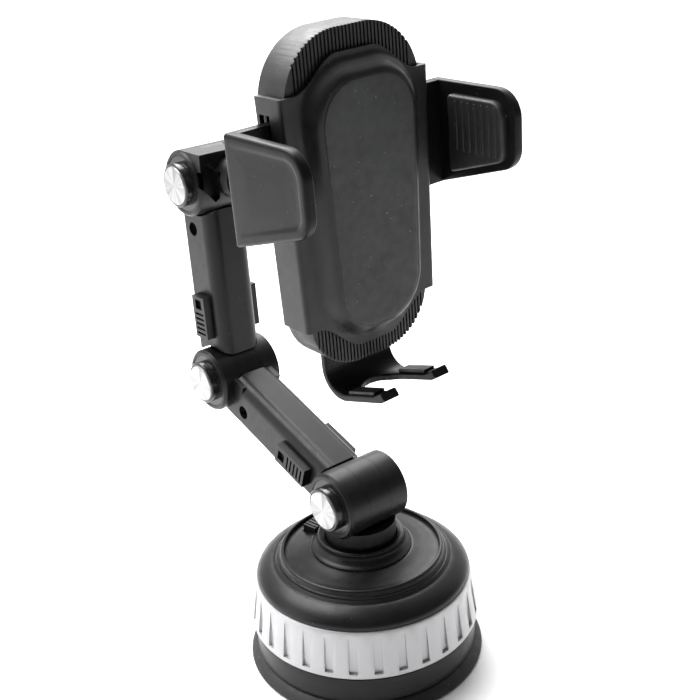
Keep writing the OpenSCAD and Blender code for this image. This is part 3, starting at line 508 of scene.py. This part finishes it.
def jaw_pad(name, side):
    """Rubber lining of a jaw's inner face, with shallow ribs across it."""
    corners = ((-JAW_REACH + 3.4, 8.6), (-0.8, 2.0), (-0.8, 25.6), (-JAW_REACH + 3.4, 25.6))
    radii = (4.0, 1.2, 1.2, 4.8)
    inner = JAW_X - JAW_PLATE - 2.2
    shell = Shell()
    shell.stack([[cradle(side * x, p.x, p.y) for p in rounded(corners, radii, inset, 8)]
                 for inset, x in edge_rings(JAW_X - JAW_PLATE + 0.1, inner, 0.1, 0.9)])
    for k in range(7):
        y = -4.5 - 2.6 * k
        bar = ((y - 0.5, 9.5), (y + 0.5, 9.5), (y + 0.5, 24.2), (y - 0.5, 24.2))
        shell.stack([[cradle(side * x, p.x, p.y) for p in rounded(bar, [0.5] * 4, inset, 4)]
                     for inset, x in edge_rings(inner + 0.5, inner - 0.25, 0.02, 0.25)])
    piece(name + "_lining", shell, "rubber", "jaw_r" if side > 0 else "jaw_l", [name])


front_cover()
front_pad()
for jaw_side, jaw_name in ((1, "right_jaw"), (-1, "left_jaw")):
    jaw(jaw_name, jaw_side)
    jaw_pad(jaw_name + "_pad", jaw_side)


# ------------------------------------------------------------------ stage

def area_light(name, place, target, size, watts):
    """White soft box of this width and height, aimed at the target."""
    data = bpy.data.lights.new(name, "AREA")
    data.shape = "RECTANGLE"
    data.size, data.size_y = size
    data.energy = watts
    lamp = bpy.data.objects.new(name, data)
    lamp.location = place
    aim = Vector(target) - Vector(place)
    lamp.rotation_euler = aim.to_track_quat("-Z", "Y").to_euler()
    bpy.context.scene.collection.objects.link(lamp)


FLOOR_REACH = 3.0
FLOOR_DROP = 0.0002


def studio():
    """Pale floor, white surroundings and soft boxes."""
    floor_mesh = bpy.data.meshes.new("studio_floor")
    reach = FLOOR_REACH
    floor_mesh.from_pydata([(-reach, -reach, 0), (reach, -reach, 0), (reach, reach, 0),
                            (-reach, reach, 0)], [], [(0, 1, 2, 3)])
    floor = bpy.data.objects.new("studio_floor", floor_mesh)
    bpy.context.scene.collection.objects.link(floor)
    floor.location.z = -FLOOR_DROP
    s = Shader("floor_paint")
    s.link(s.ramp(s.noise(0.01, 3), [(0.3, (0.90, 0.90, 0.90)), (0.7, (0.93, 0.93, 0.93))]),
           s.bsdf.inputs["Base Color"])
    s.link(s.remap(s.noise(0.05, 3), 0.5, 0.7), s.bsdf.inputs["Roughness"])
    floor_mesh.materials.append(s.material)
    studio_world()
    centre = (0, 0.02, 0.09)
    area_light("top_box", (-0.05, 0.40, 0.85), centre, (0.9, 0.6), 17)
    area_light("back_box", (1.1, 1.5, 1.2), (1.1, 1.4, 0), (1.8, 1.8), 45)
    area_light("left_box", (-0.9, 0.35, 0.30), centre, (0.5, 0.7), 2.5)


def studio_world():
    """White surroundings behind the object, dark ones in front of it."""
    world = bpy.data.worlds.new("studio_world")
    world.use_nodes = True
    tree = world.node_tree
    coords = tree.nodes.new("ShaderNodeTexCoord")
    dot = tree.nodes.new("ShaderNodeVectorMath")
    dot.operation = "DOT_PRODUCT"
    dot.inputs[1].default_value = (0.35, 0.85, 0.25)
    ramp = tree.nodes.new("ShaderNodeValToRGB")
    ramp.color_ramp.elements[0].position = 0.0
    ramp.color_ramp.elements[0].color = (0.13, 0.13, 0.13, 1)
    ramp.color_ramp.elements[1].position = 0.35
    ramp.color_ramp.elements[1].color = (1, 1, 1, 1)
    tree.links.new(coords.outputs["Generated"], dot.inputs[0])
    tree.links.new(dot.outputs["Value"], ramp.inputs["Fac"])
    tree.links.new(ramp.outputs["Color"], tree.nodes["Background"].inputs["Color"])
    tree.nodes["Background"].inputs["Strength"].default_value = 1.0
    bpy.context.scene.world = world


def camera():
    """Camera at the reference view: 23.7 degrees up, 37.8 degrees to the left."""
    data = bpy.data.cameras.new("camera")
    data.sensor_width = 36
    data.lens = 59.2
    data.clip_end = 20
    data.shift_x = 0.0129
    data.shift_y = 0.0052
    cam = bpy.data.objects.new("camera", data)
    azimuth, elevation, roll = (math.radians(a) for a in (-37.75, 23.66, -3.33))
    back = Vector((math.sin(azimuth) * math.cos(elevation),
                   -math.cos(azimuth) * math.cos(elevation), math.sin(elevation)))
    right = Vector((math.cos(azimuth), math.sin(azimuth), 0))
    up = back.cross(right)
    x_axis = right * math.cos(roll) + up * math.sin(roll)
    y_axis = up * math.cos(roll) - right * math.sin(roll)
    place = (back * 396.94 + x_axis * -8.86 + y_axis * 98.28) * MM
    turn = Matrix((x_axis, y_axis, back)).transposed().to_4x4()
    cam.matrix_world = Matrix.Translation(place) @ turn
    bpy.context.scene.collection.objects.link(cam)
    bpy.context.scene.camera = cam


studio()
camera()
bpy.context.scene.view_settings.view_transform = "Standard"
